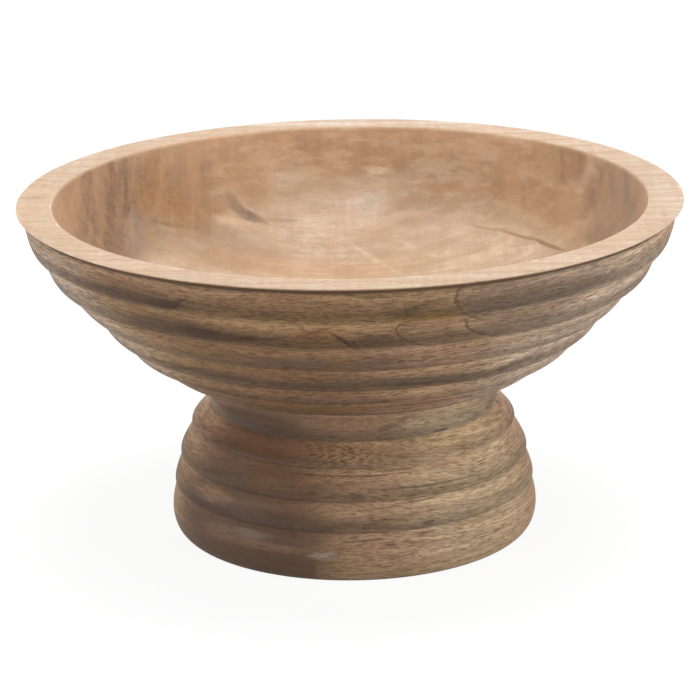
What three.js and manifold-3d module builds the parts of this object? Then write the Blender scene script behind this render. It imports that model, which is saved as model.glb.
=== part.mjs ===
// Footed wooden bowl: a ridged turned bowl on a turned, beaded foot, joined by a short round spigot,
// glue and three wood screws. Millimetres, +Z up. The foot's underside stands on z = 0 and the
// turning axis is the Z axis.
import * as THREE from 'three';
import { mergeVertices } from 'three/addons/utils/BufferGeometryUtils.js';
import Module from 'manifold-3d';

const wasm = await Module();
wasm.setup();

// Overall sizes
const overallHeight = 157.8;
const rimDiameter = 305;
const footDiameter = 170.4;

// Flats round each turned piece and each screw
const turnedSides = 60;
const screwSides = 16;

// Glue line between the bowl and the foot, and the air round each screw
const glueGap = 0.3;
const screwGap = 0.3;

// Bowl: rim
const rimWidth = 15.9;
const rimInnerEase = 1.2;
const lipSetback = 3.7;
const lipDrop = 2.5;
const shoulderProud = 0.8;
const shoulderDrop = 0.7;

// Bowl: underside and floor. lowestRidgeProud is how far the lowest ridge ends outside the neck.
const undersideHeight = 77.6;
const lowestRidgeProud = 10.9;
const floorThickness = 18.4;

// Bowl: ridges from the lip down. inward and downward are each ridge's part of the way from the
// shoulder under the lip to the underside. swell is how far the face bulges from a straight line,
// and lean is how far along that line the bulge is pulled.
const ridges = [
  { inward: 20, downward: 34, swell: 3.3, lean: 1.3 },
  { inward: 26, downward: 39, swell: 3.1, lean: 1.1 },
  { inward: 42, downward: 38, swell: 3.0, lean: 0.9 },
  { inward: 30, downward: 35, swell: 2.8, lean: 0.65 },
  { inward: 29, downward: 23, swell: 2.3, lean: 0.75 },
  { inward: 53, downward: 31, swell: 2.0, lean: 0.6 },
];

// Bowl: how full the inside is, as a share of its radius and depth. The first pull sets how steeply
// the wall leaves the rim, the second how wide the floor is.
const wallPull = { across: 0.94, down: 0.61 };
const floorPull = { across: 0.67 };

// Foot: heights from the table and diameters
const neckDiameter = 131;
const neckFlare = 1.1;
const neckHollow = 0.4;
const beadsTopHeight = 61.4;
const bandTopHeight = 24.2;
const bandTopSetback = 2.7;
const bandWidestHeight = 12.8;
const bandRoundHeight = 10.7;
const bandRoundDepth = 7.3;
const bandRoundFullness = 0.92;
const bandSwell = 0.3;

// Foot: beads from the neck down. outward and downward are each bead's part of the way from the
// neck to the base band, and swell is how far it bulges.
const beads = [
  { outward: 45, downward: 27, swell: 2.2 },
  { outward: 35, downward: 37, swell: 1.9 },
  { outward: 20, downward: 36, swell: 1.5 },
];
const beadLean = 1.2;

// Foot: hollow underneath. standWidth is the flat ring that it stands on, and the hollow narrows by
// hollowTaper all round on its way up.
const standWidth = 15.9;
const hollowTaper = 18;
const hollowDepth = 43;
const hollowCornerRadius = 9;

// Spigot on the foot, set in from the neck's edge and seated in the bowl's recess
const spigotSetback = 17.5;
const spigotHeight = 4;

// Wood screws: countersunk, driven up from the hollow's ceiling. screwInset is how far they stand
// in from the ceiling's edge, and screwBite is how deep they reach into the bowl.
const screwCount = 3;
const screwInset = 16;
const screwBite = 9.3;
const screwDiameter = 4.5;
const screwHeadDiameter = 9;
const screwHeadEdge = 0.4;
const screwHeadSunk = 0.2;
const screwShankLength = 18;
const screwThreadRings = 9;
const screwThreadDepth = 0.6;
const screwTipLength = 5;
const crossSlotLength = 4.6;
const crossSlotWidth = 1.1;
const crossSlotDepth = 1.6;

// Sizes that follow from the ones above
const standEdgeRadius = footDiameter / 2 - bandRoundDepth;
const hollowMouthRadius = standEdgeRadius - standWidth;
const hollowCeilingRadius = hollowMouthRadius - hollowTaper;
const footSeatHeight = undersideHeight - glueGap;
const neckRadius = neckDiameter / 2;
const spigotRadius = neckRadius - spigotSetback;
const spigotTopHeight = undersideHeight + spigotHeight;
const recessTopHeight = spigotTopHeight + glueGap;
const screwHeadHeight = hollowDepth + screwHeadSunk;
const screwLength = recessTopHeight + screwBite - screwHeadHeight;

// Where along a face an even bulge is greatest
const midway = 0.5;

// Points closer than this are one corner of a solid
const sameCorner = 1e-4;

// Steps along each curve
const faceSteps = 3;
const ridgeSteps = 6;
const beadSteps = 6;
const insideSteps = 11;

const point = (radius, height) => new THREE.Vector2(radius, height);

// A curve from one profile point to the next that bulges outward by swell at its middle, or
// leans that bulge towards its end. The first point is left out.
function swollenCurve(from, to, swell, lean, steps) {
  const chord = to.clone().sub(from);
  const outward = point(-chord.y, chord.x).normalize();
  if (outward.x < 0) outward.negate();
  const pull = from.clone().addScaledVector(chord, lean).addScaledVector(outward, 2 * swell);
  return new THREE.QuadraticBezierCurve(from, pull, to).getPoints(steps).slice(1);
}

// A rounded corner between two straight runs
function roundedCorner(before, corner, after, radius, steps) {
  const reach = (other) => Math.min(radius, other.distanceTo(corner) / 2);
  const towards = (other) => other.clone().sub(corner).setLength(reach(other));
  const start = corner.clone().add(towards(before));
  const end = corner.clone().add(towards(after));
  return new THREE.QuadraticBezierCurve(start, corner, end).getPoints(steps);
}

// Where each part of a run ends, when the run is shared out by weight
function sharedStops(start, end, parts, across, down) {
  const total = (key) => parts.reduce((sum, part) => sum + part[key], 0);
  const stop = start.clone();
  return parts.map((part) => {
    stop.x += ((end.x - start.x) * part[across]) / total(across);
    stop.y += ((end.y - start.y) * part[down]) / total(down);
    return stop.clone();
  });
}

// A solid turned round the Z axis from a profile that starts and ends on that axis
function turned(profile, sides) {
  const geometry = new THREE.LatheGeometry(profile, sides);
  geometry.rotateX(Math.PI / 2);
  return solidOf(geometry);
}

// A closed solid from a three.js geometry
function solidOf(geometry) {
  const bare = geometry.clone();
  bare.deleteAttribute('normal');
  bare.deleteAttribute('uv');
  const merged = mergeVertices(bare, sameCorner);
  const corners = merged.getIndex().array;
  const kept = [];
  for (let i = 0; i < corners.length; i += 3) {
    const [a, b, c] = corners.slice(i, i + 3);
    if (a !== b && b !== c && c !== a) kept.push(a, b, c);
  }
  const mesh = new wasm.Mesh({
    numProp: 3,
    vertProperties: new Float32Array(merged.getAttribute('position').array),
    triVerts: new Uint32Array(kept),
  });
  return new wasm.Manifold(mesh);
}

// A three.js geometry from a closed solid
function geometryOf(solid) {
  const { vertProperties, triVerts } = solid.getMesh();
  const geometry = new THREE.BufferGeometry();
  geometry.setAttribute('position', new THREE.BufferAttribute(new Float32Array(vertProperties), 3));
  geometry.setIndex(new THREE.BufferAttribute(new Uint32Array(triVerts), 1));
  geometry.computeVertexNormals();
  return geometry;
}

// Ridged outside of the bowl, from the lip down to the flat underside
function ridgedOutside() {
  const rimEdge = point(rimDiameter / 2, overallHeight);
  const undercut = point(rimEdge.x - lipSetback, rimEdge.y - lipDrop);
  const shoulder = point(undercut.x + shoulderProud, undercut.y - shoulderDrop);
  const lowestEnd = point(neckRadius + lowestRidgeProud, undersideHeight);
  const profile = [rimEdge, undercut, shoulder];
  let top = shoulder;
  sharedStops(shoulder, lowestEnd, ridges, 'inward', 'downward').forEach((stop, i) => {
    profile.push(...swollenCurve(top, stop, ridges[i].swell, ridges[i].lean, ridgeSteps));
    top = stop;
  });
  return profile;
}

// Smooth inside of the bowl, from the rim down to the middle of the floor
function smoothInside() {
  const innerRadius = rimDiameter / 2 - rimWidth;
  const floorHeight = undersideHeight + floorThickness;
  const depth = overallHeight - floorHeight;
  const easeTop = point(innerRadius, overallHeight);
  const easeFoot = point(innerRadius - rimInnerEase / 2, overallHeight - rimInnerEase);
  const wall = new THREE.CubicBezierCurve(
    easeFoot,
    point(innerRadius * wallPull.across, overallHeight - depth * wallPull.down),
    point(innerRadius * floorPull.across, floorHeight),
    point(0, floorHeight),
  );
  return [easeTop, ...wall.getPoints(insideSteps)];
}

function bowlProfile() {
  const recessRadius = spigotRadius + glueGap;
  const recess = [
    point(recessRadius, undersideHeight),
    point(recessRadius, recessTopHeight),
    point(0, recessTopHeight),
  ];
  return [...smoothInside().reverse(), ...ridgedOutside(), ...recess].reverse();
}

// Outside of the foot, from the neck's top down to where it stands
function beadedOutside() {
  const neckTop = point(neckRadius, footSeatHeight);
  const beadsTop = point(neckRadius + neckFlare, beadsTopHeight);
  const bandTop = point(footDiameter / 2 - bandTopSetback, bandTopHeight);
  const bandWidest = point(footDiameter / 2, bandWidestHeight);
  const bandRoundTop = point(footDiameter / 2, bandRoundHeight);
  const standEdge = point(standEdgeRadius, 0);
  const profile = [neckTop, ...swollenCurve(neckTop, beadsTop, -neckHollow, midway, faceSteps)];
  let top = beadsTop;
  sharedStops(beadsTop, bandTop, beads, 'outward', 'downward').forEach((stop, i) => {
    profile.push(...swollenCurve(top, stop, beads[i].swell, beadLean, beadSteps));
    top = stop;
  });
  profile.push(...swollenCurve(bandTop, bandWidest, bandSwell, midway, faceSteps));
  const roundPull = point(
    standEdge.x + bandRoundDepth * bandRoundFullness,
    bandRoundHeight * (1 - bandRoundFullness),
  );
  profile.push(...new THREE.QuadraticBezierCurve(bandRoundTop, roundPull, standEdge).getPoints(beadSteps));
  return profile;
}

// Hollow under the foot, from its mouth up to the middle of its ceiling
function footHollow() {
  const mouth = point(hollowMouthRadius, 0);
  const corner = point(hollowCeilingRadius, hollowDepth);
  const middle = point(0, hollowDepth);
  return [mouth, ...roundedCorner(mouth, corner, middle, hollowCornerRadius, beadSteps), middle];
}

function footProfile() {
  const spigot = [
    point(0, spigotTopHeight),
    point(spigotRadius, spigotTopHeight),
    point(spigotRadius, footSeatHeight),
  ];
  return [...spigot, ...beadedOutside(), ...footHollow()].reverse();
}

// A countersunk wood screw along +Z, its head's face at z = 0, its thread drawn as rings
function screwSolid() {
  const headRadius = screwHeadDiameter / 2;
  const shankRadius = screwDiameter / 2;
  const rootRadius = shankRadius - screwThreadDepth;
  const coneTop = screwHeadEdge + headRadius - shankRadius;
  const pitch = (screwLength - screwShankLength - screwTipLength) / screwThreadRings;
  const profile = [point(0, 0), point(headRadius, 0), point(headRadius, screwHeadEdge)];
  profile.push(point(shankRadius, coneTop), point(shankRadius, screwShankLength));
  for (let ring = 0; ring < screwThreadRings; ring += 1) {
    const ringStart = screwShankLength + ring * pitch;
    profile.push(point(rootRadius, ringStart + pitch / 3));
    profile.push(point(shankRadius, ringStart + pitch));
  }
  profile.push(point(0, screwLength));
  const slotA = solidOf(new THREE.BoxGeometry(crossSlotLength, crossSlotWidth, 2 * crossSlotDepth));
  const slotB = solidOf(new THREE.BoxGeometry(crossSlotWidth, crossSlotLength, 2 * crossSlotDepth));
  return turned(profile, screwSides).subtract(slotA.add(slotB));
}

// The room that one screw takes up in the wood, a screwGap larger than the screw all round. Below
// the head it runs on down, so that it opens into the hollow.
function screwRoom() {
  const headRadius = screwHeadDiameter / 2 + screwGap;
  const shankRadius = screwDiameter / 2 + screwGap;
  const coneTop = screwHeadEdge + headRadius - shankRadius;
  const openEnd = -screwHeadDiameter;
  return turned(
    [
      point(0, openEnd),
      point(headRadius, openEnd),
      point(headRadius, screwHeadEdge),
      point(shankRadius, coneTop),
      point(shankRadius, screwLength + screwGap),
      point(0, screwLength + screwGap),
    ],
    screwSides,
  );
}

const screwSpots = Array.from({ length: screwCount }, (_, i) => {
  const angle = (2 * Math.PI * i) / screwCount + Math.PI / 2;
  const radius = hollowCeilingRadius - screwInset;
  return [radius * Math.cos(angle), radius * Math.sin(angle), screwHeadHeight];
});

function withScrewHoles(solid) {
  return screwSpots.reduce((left, spot) => left.subtract(screwRoom().translate(spot)), solid);
}

const bowlWood = new THREE.MeshStandardMaterial({ color: 0xa08868, roughness: 0.75, metalness: 0 });
const footWood = new THREE.MeshStandardMaterial({ color: 0x8f7355, roughness: 0.75, metalness: 0 });
const screwSteel = new THREE.MeshStandardMaterial({ color: 0xb9b08a, roughness: 0.4, metalness: 1 });

const object = new THREE.Group();

const bowl = new THREE.Mesh(geometryOf(withScrewHoles(turned(bowlProfile(), turnedSides))), bowlWood);
bowl.name = 'bowl';
object.add(bowl);

const foot = new THREE.Mesh(geometryOf(withScrewHoles(turned(footProfile(), turnedSides))), footWood);
foot.name = 'foot';
object.add(foot);

const screwGeometry = geometryOf(screwSolid());
screwSpots.forEach((spot, i) => {
  const screw = new THREE.Mesh(screwGeometry, screwSteel.clone());
  screw.name = `screw_${i + 1}`;
  screw.position.set(...spot);
  object.add(screw);
});

export default object;
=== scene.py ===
import math

import bpy
import numpy as np
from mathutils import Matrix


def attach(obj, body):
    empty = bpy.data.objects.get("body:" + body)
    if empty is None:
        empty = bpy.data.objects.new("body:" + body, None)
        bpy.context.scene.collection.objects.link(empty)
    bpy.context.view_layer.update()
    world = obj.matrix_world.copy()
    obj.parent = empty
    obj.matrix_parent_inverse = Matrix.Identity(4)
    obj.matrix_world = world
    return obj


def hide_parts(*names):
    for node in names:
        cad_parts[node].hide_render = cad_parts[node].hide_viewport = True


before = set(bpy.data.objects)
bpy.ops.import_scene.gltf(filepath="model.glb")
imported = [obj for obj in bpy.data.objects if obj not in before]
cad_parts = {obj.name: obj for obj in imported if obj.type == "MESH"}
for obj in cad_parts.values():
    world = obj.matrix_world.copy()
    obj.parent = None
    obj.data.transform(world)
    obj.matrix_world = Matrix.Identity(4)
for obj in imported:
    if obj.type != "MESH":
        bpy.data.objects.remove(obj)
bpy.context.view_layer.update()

# The bowl
# Turned from one block of pale hardwood with its grain running left to right. The outside is cut
# in six ridges that lap over each other like shingles, under a flat rim with an undercut lip.
MM = 0.001
SIDES = 320
RIM_RADIUS = 152.5
RIM_HEIGHT = 157.8
RIM_WIDTH = 15.9
RIM_EDGE_RADIUS = 0.45
RIM_INNER_EASE = 1.2
LIP_SETBACK = 3.7
LIP_DROP = 2.5
SHOULDER_PROUD = 0.8
SHOULDER_DROP = 0.7
UNDERSIDE_HEIGHT = 77.6
LOWEST_RIDGE_RADIUS = 76.4
FLOOR_HEIGHT = 96.0
RECESS_RADIUS = 48.3
RECESS_HEIGHT = 81.9
# Each ridge: its share of the way in, its share of the way down, how far its face swells, and how
# far along it the swelling is pulled.
RIDGES = (
    (20, 34, 3.3, 1.3),
    (26, 39, 3.1, 1.1),
    (42, 38, 3.0, 0.9),
    (30, 35, 2.8, 0.65),
    (29, 23, 2.3, 0.75),
    (53, 31, 2.0, 0.6),
)
WALL_PULL = (0.94, 0.61)
FLOOR_PULL = 0.67
# Small corners, and the steps that each curve is drawn with.
UNDERCUT_CORNER_RADIUS = 0.3
INSIDE_EDGE_RADIUS = 0.4
RIM_INNER_EDGE_RADIUS = 0.9
RECESS_EDGE_STEP = 0.4
RECESS_CORNER_RADII = (0.2, 0.3)
CORNER_STEPS = 4
RIM_EDGE_STEPS = 6
RIDGE_STEPS = 18
INSIDE_STEPS = 96
INSIDE_LONGEST_STEP = 2.6
OUTSIDE_LONGEST_STEP = 1.6
SAME_POINT = 1e-6

inner_edge = (RIM_RADIUS - RIM_WIDTH, RIM_HEIGHT)
rim_edge = (RIM_RADIUS, RIM_HEIGHT)
undercut = (RIM_RADIUS - LIP_SETBACK, RIM_HEIGHT - LIP_DROP)
shoulder = (undercut[0] + SHOULDER_PROUD, undercut[1] - SHOULDER_DROP)


def bezier(points, steps):
    """A Bezier curve of two, three or four (radius, height) points: each point times its Bernstein
    weight, summed, at equal steps from the first point to the last."""
    share = np.linspace(0.0, 1.0, steps + 1)[:, None]
    last = len(points) - 1
    total = 0.0
    for i, place in enumerate(points):
        weight = math.comb(last, i) * share ** i * (1.0 - share) ** (last - i)
        total = total + weight * np.asarray(place, float)
    return total


def stops_along(start, end, parts):
    """Where each part ends on the way from start to end: a running sum of its first two numbers,
    its share of the way across and its share of the way down, over their totals."""
    start = np.asarray(start, float)
    shares = np.array([part[:2] for part in parts], float)
    return start + np.cumsum(shares / shares.sum(axis=0), axis=0) * (np.asarray(end, float) - start)


def swollen_face(start, end, swell, lean, steps):
    """A curve from start to end that bulges outward by swell: its pull point lies a share, lean, of
    the way along the chord and twice the swell out from it, on the side of the larger radius."""
    start, end = np.asarray(start, float), np.asarray(end, float)
    chord = end - start
    out = np.array([-chord[1], chord[0]]) / np.hypot(*chord)
    out = -out if out[0] < 0 else out
    return bezier([start, start + lean * chord + 2.0 * swell * out, end], steps)


def rounded_corner(before, corner, after, radius, steps):
    """A corner eased by a curve that leaves each side at the radius, or halfway along a short one."""
    before, corner, after = (np.asarray(place, float) for place in (before, corner, after))
    ends = []
    for other in (before, after):
        side = other - corner
        length = np.hypot(*side)
        ends.append(corner + side / length * min(radius, length / 2.0))
    return bezier([ends[0], corner, ends[1]], steps)


def eased(corners, radii, steps=CORNER_STEPS):
    """A run of straight lines through the corners, with each inner corner rounded by its radius."""
    parts = [np.asarray(corners[:1], float)]
    for i, radius in enumerate(radii, start=1):
        parts.append(rounded_corner(corners[i - 1], corners[i], corners[i + 1], radius, steps))
    parts.append(np.asarray(corners[-1:], float))
    return np.vstack(parts)


def evenly_filled(profile, longest):
    """The same profile with each step longer than the given length cut into equal shorter ones."""
    parts = [profile[:1]]
    for start, end in zip(profile[:-1], profile[1:]):
        count = max(1, math.ceil(np.hypot(*(end - start)) / longest))
        share = np.arange(1, count + 1)[:, None] / count
        parts.append(start + share * (end - start))
    filled = np.vstack(parts)
    moved = np.hypot(*np.diff(filled, axis=0).T) > SAME_POINT
    return filled[np.concatenate([[True], moved])]


def crisp(profile, hold=0.12, sharpest=18.0):
    """The same profile with a point added just before and just after each bend of more than the
    given degrees, so that smooth shading stays flat right up to the bend."""
    step = np.diff(profile, axis=0)
    length = np.hypot(*step.T)
    way = step / length[:, None]
    turns = np.degrees(np.arccos(np.clip((way[:-1] * way[1:]).sum(axis=1), -1.0, 1.0)))
    at = np.nonzero(turns > sharpest)[0] + 1
    near = np.minimum(hold, length / 3.0)[:, None]
    before = profile[at] - way[at - 1] * near[at - 1]
    after = profile[at] + way[at] * near[at]
    return np.insert(profile, np.concatenate([at, at + 1]), np.vstack([before, after]), axis=0)


def ridged_outside(stops):
    """The bowl's outside from the rim's edge down: the undercut, the shoulder, then each ridge's
    face, which swells out and turns under to where the next ridge starts."""
    parts = [rounded_corner(rim_edge, undercut, shoulder, UNDERCUT_CORNER_RADIUS, CORNER_STEPS)]
    for top, stop, (_, _, swell, lean) in zip([shoulder, *stops], stops, RIDGES):
        parts.append(swollen_face(top, stop, swell, lean, RIDGE_STEPS)[1:])
    parts.append(np.array([[RECESS_RADIUS + RECESS_EDGE_STEP, UNDERSIDE_HEIGHT]]))
    return np.vstack(parts)


def smooth_inside():
    """The inside from the middle of the floor up to the rim's inner ease: one cubic curve."""
    inner, top = inner_edge
    floor_pull = (inner * FLOOR_PULL, FLOOR_HEIGHT)
    wall_pull = (inner * WALL_PULL[0], top - (top - FLOOR_HEIGHT) * WALL_PULL[1])
    ease = (inner - RIM_INNER_EASE / 2.0, top - RIM_INNER_EASE)
    return bezier([(0.0, FLOOR_HEIGHT), floor_pull, wall_pull, ease], INSIDE_STEPS)


def turned_mesh(name, profile, rows_by_material, crowded_at=0.0, crowding=0.0, worn_away=None):
    """Every (radius, height) point of the profile carried round the Z axis, closed to one point at
    each end on the axis. The steps round are even, or closer together near one angle: step angle
    plus crowding times the sine of the way from it. worn_away takes a depth off each radius. A
    material covers the rows before its own row number."""
    radius, height = profile[1:-1, :1], profile[1:-1, 1:]
    even = np.linspace(0.0, 2.0 * np.pi, SIDES, endpoint=False)
    turn = even - crowding * np.sin(even - crowded_at)
    if worn_away is not None:
        radius = radius - worn_away(turn, radius, height)
    rings = np.empty((len(radius), SIDES, 3))
    rings[..., 0] = radius * np.sin(turn) * MM
    rings[..., 1] = -radius * np.cos(turn) * MM
    rings[..., 2] = height * MM
    poles = np.array([[0.0, 0.0, profile[0][1] * MM], [0.0, 0.0, profile[-1][1] * MM]])
    corners = np.vstack([rings.reshape(-1, 3), poles])
    first = np.arange(len(radius) - 1)[:, None] * SIDES
    here = np.arange(SIDES)[None, :]
    after = (here + 1) % SIDES
    quads = np.stack([first + here, first + SIDES + here, first + SIDES + after, first + after], -1)
    last_ring = (len(radius) - 1) * SIDES
    start_pole, end_pole = len(corners) - 2, len(corners) - 1
    fans = [[start_pole, j, (j + 1) % SIDES] for j in range(SIDES)]
    fans += [[last_ring + j, end_pole, last_ring + (j + 1) % SIDES] for j in range(SIDES)]
    mesh = bpy.data.meshes.new(name)
    mesh.from_pydata(corners.tolist(), [], quads.reshape(-1, 4).tolist() + fans)
    row_of_quad = np.repeat(np.arange(len(radius) - 1), SIDES)
    row = np.concatenate([row_of_quad, np.zeros(SIDES), np.full(SIDES, len(radius))])
    material = np.searchsorted(rows_by_material, row, side="right")
    mesh.polygons.foreach_set("material_index", material)
    mesh.polygons.foreach_set("use_smooth", np.ones(len(row), bool))
    mesh.update()
    piece = bpy.data.objects.new(name, mesh)
    bpy.context.scene.collection.objects.link(piece)
    return piece


NICK_AT = math.radians(69.3)
NICK_HEIGHT = 156.3
NICK_DEPTH = 1.3
NICK_HALF_WIDTH = 1.1
NICK_HALF_HEIGHT = 1.2
CROWDED_AT_THE_NICK = 0.6
# How uneven the lip's lower edge is, how far up and down that reaches, and its waves: how many go
# round and where each starts.
LIP_UNEVEN = 0.22
LIP_UNEVEN_REACH = 1.4
LIP_WAVES = ((11, 0.4), (17, 2.0), (29, 1.1))
# How uneven the ridges are, and their waves: how many go round, how many millimetres down turn one
# by a radian, and each one's share.
RIDGES_UNEVEN = 0.12
RIDGE_WAVES = ((3, 9.0, 0.6), (7, 5.0, 0.4))
# How far the wear reaches in from the rim's edge, and how far the unevenness stays clear of the
# lip, the underside, the recess and, for the nick, the undercut.
LIP_WEAR_WIDTH = 8.0
CLEAR_OF_LIP = 1.0
CLEAR_OF_UNDERSIDE = 0.2
CLEAR_OF_RECESS = 5.0
CLEAR_OF_UNDERCUT = 0.5


def bowl_wear(turn, radius, height):
    """The lip's lower edge wavers by a few slow waves, the ridges by fewer, and the lip has one
    small nick at the right: a bell shape across and another up its edge."""
    lip = np.exp(-(((height - undercut[1]) / LIP_UNEVEN_REACH) ** 2))
    lip = lip * (radius > RIM_RADIUS - LIP_WEAR_WIDTH)
    waver = sum(np.sin(count * turn + start) for count, start in LIP_WAVES) / len(LIP_WAVES)
    ridges = (height < undercut[1] - CLEAR_OF_LIP) & (height > UNDERSIDE_HEIGHT + CLEAR_OF_UNDERSIDE)
    ridges = ridges & (radius > RECESS_RADIUS + CLEAR_OF_RECESS)
    sway = 1.0 + sum(share * np.sin(count * turn + height / fall) for count, fall, share in RIDGE_WAVES)
    across = (turn - NICK_AT) * RIM_RADIUS / NICK_HALF_WIDTH
    along = (height - NICK_HEIGHT) / NICK_HALF_HEIGHT
    nick = np.exp(-(across ** 2) - along ** 2) * (radius > undercut[0] - CLEAR_OF_UNDERCUT)
    return LIP_UNEVEN * lip * (1.0 + waver) + RIDGES_UNEVEN * ridges * sway + NICK_DEPTH * nick


inside = smooth_inside()
rim_top = np.vstack([
    rounded_corner(inside[-2], inside[-1], inner_edge, INSIDE_EDGE_RADIUS, CORNER_STEPS),
    rounded_corner(inside[-1], inner_edge, rim_edge, RIM_INNER_EDGE_RADIUS, RIM_EDGE_STEPS),
    rounded_corner(inner_edge, rim_edge, undercut, RIM_EDGE_RADIUS, RIM_EDGE_STEPS),
])
ridge_stops = stops_along(shoulder, (LOWEST_RIDGE_RADIUS, UNDERSIDE_HEIGHT), RIDGES)
pale_part = evenly_filled(np.vstack([inside[:-1], rim_top]), INSIDE_LONGEST_STEP)
outside = np.vstack([rim_top[-1:], ridged_outside(ridge_stops)])
outside = crisp(evenly_filled(outside, OUTSIDE_LONGEST_STEP))
recess = eased(
    [(RECESS_RADIUS + RECESS_EDGE_STEP, UNDERSIDE_HEIGHT), (RECESS_RADIUS, UNDERSIDE_HEIGHT),
     (RECESS_RADIUS, RECESS_HEIGHT), (0.0, RECESS_HEIGHT)],
    RECESS_CORNER_RADII,
)
bowl_profile = np.vstack([pale_part, outside[1:], recess[1:]])
pale_rows = [len(pale_part) - 1]
bowl = turned_mesh("turned_bowl", bowl_profile, pale_rows, NICK_AT, CROWDED_AT_THE_NICK, bowl_wear)


def paint(red, green, blue):
    """A colour as seen on a screen, 0 to 255 each, turned to the linear values that shaders use."""
    seen = np.array([red, green, blue]) / 255.0
    linear = np.where(seen <= 0.04045, seen / 12.92, ((seen + 0.055) / 1.055) ** 2.4)
    return (*linear.tolist(), 1.0)


def add_node(kind, sockets=None, **settings):
    """One shader node in the tree that was started last, with its settings, and each socket given a
    value or a link. Every helper below adds its nodes to that tree."""
    node = tree.nodes.new("ShaderNode" + kind)
    for key, value in settings.items():
        setattr(node, key, value)
    for key, value in (sockets or {}).items():
        if isinstance(value, bpy.types.NodeSocket):
            tree.links.new(value, node.inputs[key])
        else:
            node.inputs[key].default_value = value
    return node


def mixed(amount, below, above, way="MIX"):
    """The colour above laid over the colour below by an amount from 0 to 1."""
    sockets = {0: amount, 6: below, 7: above}
    return add_node("Mix", sockets, data_type="RGBA", blend_type=way).outputs[2]


def sums(way, first, second=0.0, third=0.0):
    """One step of arithmetic on numbers."""
    return add_node("Math", {0: first, 1: second, 2: third}, operation=way).outputs[0]


def vectors(way, first, second=(0.0, 0.0, 0.0)):
    """One step of arithmetic on vectors."""
    return add_node("VectorMath", {0: first, 1: second}, operation=way).outputs[0]


def length_of(vector):
    """How long a vector is."""
    return add_node("VectorMath", {0: vector}, operation="LENGTH").outputs["Value"]


def eased_step(value, low, high, at_low=0.0, at_high=1.0):
    """Goes smoothly from at_low to at_high while the value goes from low to high."""
    sockets = {"Value": value, "From Min": low, "From Max": high, "To Min": at_low, "To Max": at_high}
    return add_node("MapRange", sockets, interpolation_type="SMOOTHSTEP").outputs[0]


def noise(place, per_metre, shift=0.0, detail=2.0, roughness=0.5):
    """Cloudy noise with its own number of features per metre along X, Y and Z."""
    move = (shift, shift * 1.7, shift * 2.3)
    scaled = add_node("Mapping", {"Vector": place, "Scale": per_metre, "Location": move}).outputs[0]
    sockets = {"Vector": scaled, "Scale": 1.0, "Detail": detail, "Roughness": roughness}
    return add_node("TexNoise", sockets)


def patchy(place, per_metre, shift, detail, low, high, most=1.0, roughness=0.6):
    """An amount from 0 to most that comes and goes in cloudy patches."""
    cloud = noise(place, per_metre, shift, detail, roughness).outputs[0]
    return eased_step(cloud, low, high, 0.0, most)


def shaken(vector, shake, reach):
    """The vector moved by a noise colour, by up to half of reach each way."""
    centred = vectors("SUBTRACT", shake, (0.5, 0.5, 0.5))
    return vectors("ADD", vector, vectors("MULTIPLY", centred, reach))


def pore_dashes(place, per_metre, thin, thick, kept):
    """Dark dashes along the grain: the middles of cells stretched along X. Each cell's own random
    colour decides whether it has a dash, and the number kept is the share of cells without one."""
    cells = add_node("Mapping", {"Vector": place, "Scale": per_metre}).outputs[0]
    near = add_node("TexVoronoi", {"Vector": cells, "Scale": 1.0})
    chance = add_node("SeparateXYZ", {0: near.outputs["Color"]}).outputs[0]
    dash = eased_step(near.outputs["Distance"], thick, thin)
    return sums("MULTIPLY", dash, eased_step(chance, kept - 0.1, kept + 0.2))


# How many of each feature of the wood there are per metre: along the grain, across it and up.
DRIFTS = (8.0, 13.0, 13.0)
COARSE_PORES = (120.0, 1300.0, 1300.0)
FINE_PORES = (220.0, 2200.0, 2200.0)
PORE_CROWDS = (22.0, 75.0, 75.0)
STREAKS = (9.0, 230.0, 230.0)
LINES = (24.0, 640.0, 640.0)
FIBRES = (260.0, 1900.0, 1900.0)
RIPPLES = (190.0, 16.0, 30.0)
DRIFT_REACH = 0.026


def wood_figure(pith, ring_gap, shift, depth_share=1.0):
    """The wood's own pattern through the whole block, in object coordinates, with its fibres along
    X. It gives the bent place, growth rings round the pith line, streaks, lines, fibres, ripples
    across the grain, and pores that stand closer in some places than in others. A small depth share
    draws the pattern out along Y too, so that it follows turned sides all the way round."""
    place = add_node("TexCoord").outputs["Object"]
    drawn_out = vectors("MULTIPLY", place, (1.0, depth_share, 1.0))
    drift = noise(drawn_out, DRIFTS, shift, 2.0).outputs[1]
    bent = shaken(drawn_out, drift, (0.0, DRIFT_REACH * depth_share, DRIFT_REACH))
    to_pith = {"Location": (0.0, -pith[0] * MM, -pith[1] * MM), "Scale": (0.0, 1.0, 1.0)}
    depth = length_of(add_node("Mapping", {"Vector": bent, **to_pith}).outputs[0])
    wave = sums("SINE", sums("MULTIPLY", depth, 2.0 * math.pi / (ring_gap * MM)))
    coarse = pore_dashes(bent, COARSE_PORES, 0.10, 0.44, 0.45)
    fine = pore_dashes(bent, FINE_PORES, 0.10, 0.48, 0.35)
    crowd = eased_step(noise(bent, PORE_CROWDS, shift + 6.0).outputs[0], 0.4, 0.6, 0.3, 1.0)
    pores = sums("MAXIMUM", coarse, sums("MULTIPLY", fine, 0.7))
    return {
        "place": place,
        "bent": bent,
        "rings": eased_step(wave, -0.2, 1.0),
        "streaks": noise(bent, STREAKS, shift, 5.0, 0.62).outputs[0],
        "lines": noise(bent, LINES, shift + 3.0, 4.0, 0.64).outputs[0],
        "fibres": noise(bent, FIBRES, shift, 3.0, 0.62).outputs[0],
        "ripples": noise(bent, RIPPLES, shift + 8.0, 3.0, 0.6).outputs[0],
        "pores": sums("MULTIPLY", pores, crowd),
    }


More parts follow.
